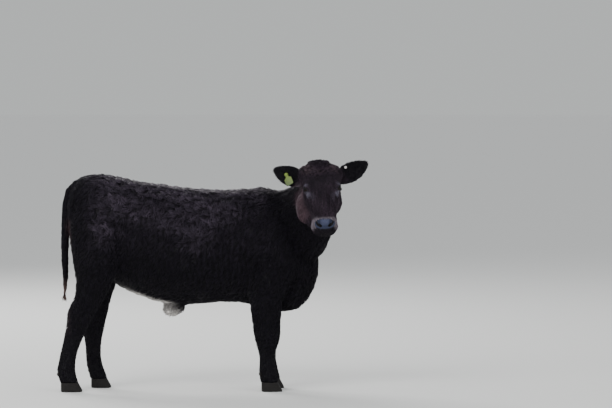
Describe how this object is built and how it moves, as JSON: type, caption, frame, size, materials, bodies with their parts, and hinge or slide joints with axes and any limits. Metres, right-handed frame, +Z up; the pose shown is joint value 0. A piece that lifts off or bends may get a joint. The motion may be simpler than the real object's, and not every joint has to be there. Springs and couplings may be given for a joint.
{
  "type": "young cow",
  "caption": "Life-size still model of a young hornless beef animal with a dark curly coat, standing on four legs and looking to its right.",
  "frame": {"origin": "on the floor, under the middle of the animal's box", "axes": "+X the way the body faces, +Y to the animal's left, +Z up"},
  "size_m": [1.656, 0.6778, 1.2422],
  "materials": {
    "coat": "matt, long curly hair",
    "horn": "satin horn",
    "eye": "wet",
    "tag_yellow": "satin",
    "tag_white": "satin"
  },
  "bodies": {
    "root": {"eye_left": "eye", "eye_right": "eye", "claw_foreleg_right_inner": "horn", "dewclaw_foreleg_right_inner": "horn", "claw_foreleg_right_outer": "horn", "dewclaw_foreleg_right_outer": "horn", "claw_foreleg_left_inner": "horn", "dewclaw_foreleg_left_inner": "horn", "claw_foreleg_left_outer": "horn", "dewclaw_foreleg_left_outer": "horn", "claw_hindleg_right_inner": "horn", "dewclaw_hindleg_right_inner": "horn", "claw_hindleg_right_outer": "horn", "dewclaw_hindleg_right_outer": "horn", "claw_hindleg_left_inner": "horn", "dewclaw_hindleg_left_inner": "horn", "claw_hindleg_left_outer": "horn", "dewclaw_hindleg_left_outer": "horn", "foreleg_right_lower": "coat", "foreleg_right_upper": "coat", "foreleg_left_lower": "coat", "foreleg_left_upper": "coat", "hindleg_right_lower": "coat", "hindleg_right_upper": "coat", "hindleg_left_lower": "coat", "hindleg_left_upper": "coat", "ear_right": "coat", "ear_left": "coat", "muzzle": "coat", "head": "coat", "neck": "coat", "trunk": "coat", "tail_switch": "coat", "tail": "coat", "eartag_flag": "tag_yellow", "eartag_button": "tag_yellow", "eartag_stud": "tag_white"}
  },
  "joints": []
}
